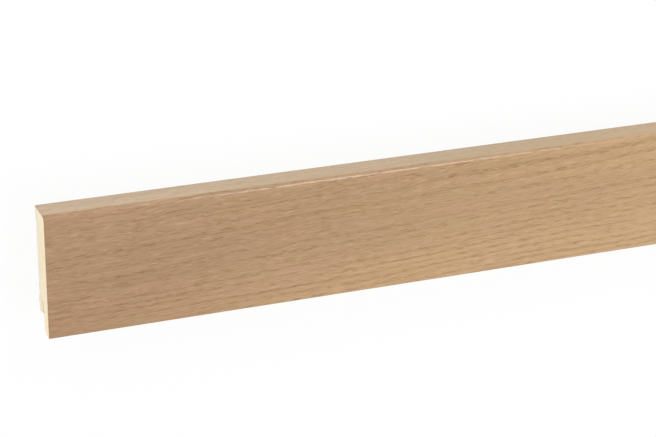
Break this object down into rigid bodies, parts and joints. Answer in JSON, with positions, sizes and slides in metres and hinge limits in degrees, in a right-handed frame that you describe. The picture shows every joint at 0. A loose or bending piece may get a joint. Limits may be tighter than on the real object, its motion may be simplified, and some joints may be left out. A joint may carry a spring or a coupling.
{
  "type": "skirting board length",
  "caption": "Straight skirting board: a softwood moulding with an oak veneered face and rounded top, a hollow back, a clip groove and a cable space behind its foot.",
  "frame": {"origin": "middle of the board's length and height, on the wall plane that its back lands touch", "axes": "+X along the board, +Y from the floor edge to the top edge, +Z out of the face, so the board lies on its back with the face up"},
  "size_m": [2.4, 0.06, 0.016],
  "materials": {
    "softwood": "raw moulded softwood, planed smooth, sawn at the ends",
    "oak": "oak veneer under a clear satin lacquer"
  },
  "bodies": {
    "root": {"softwood_core": "softwood", "oak_veneer": "oak"}
  },
  "joints": []
}
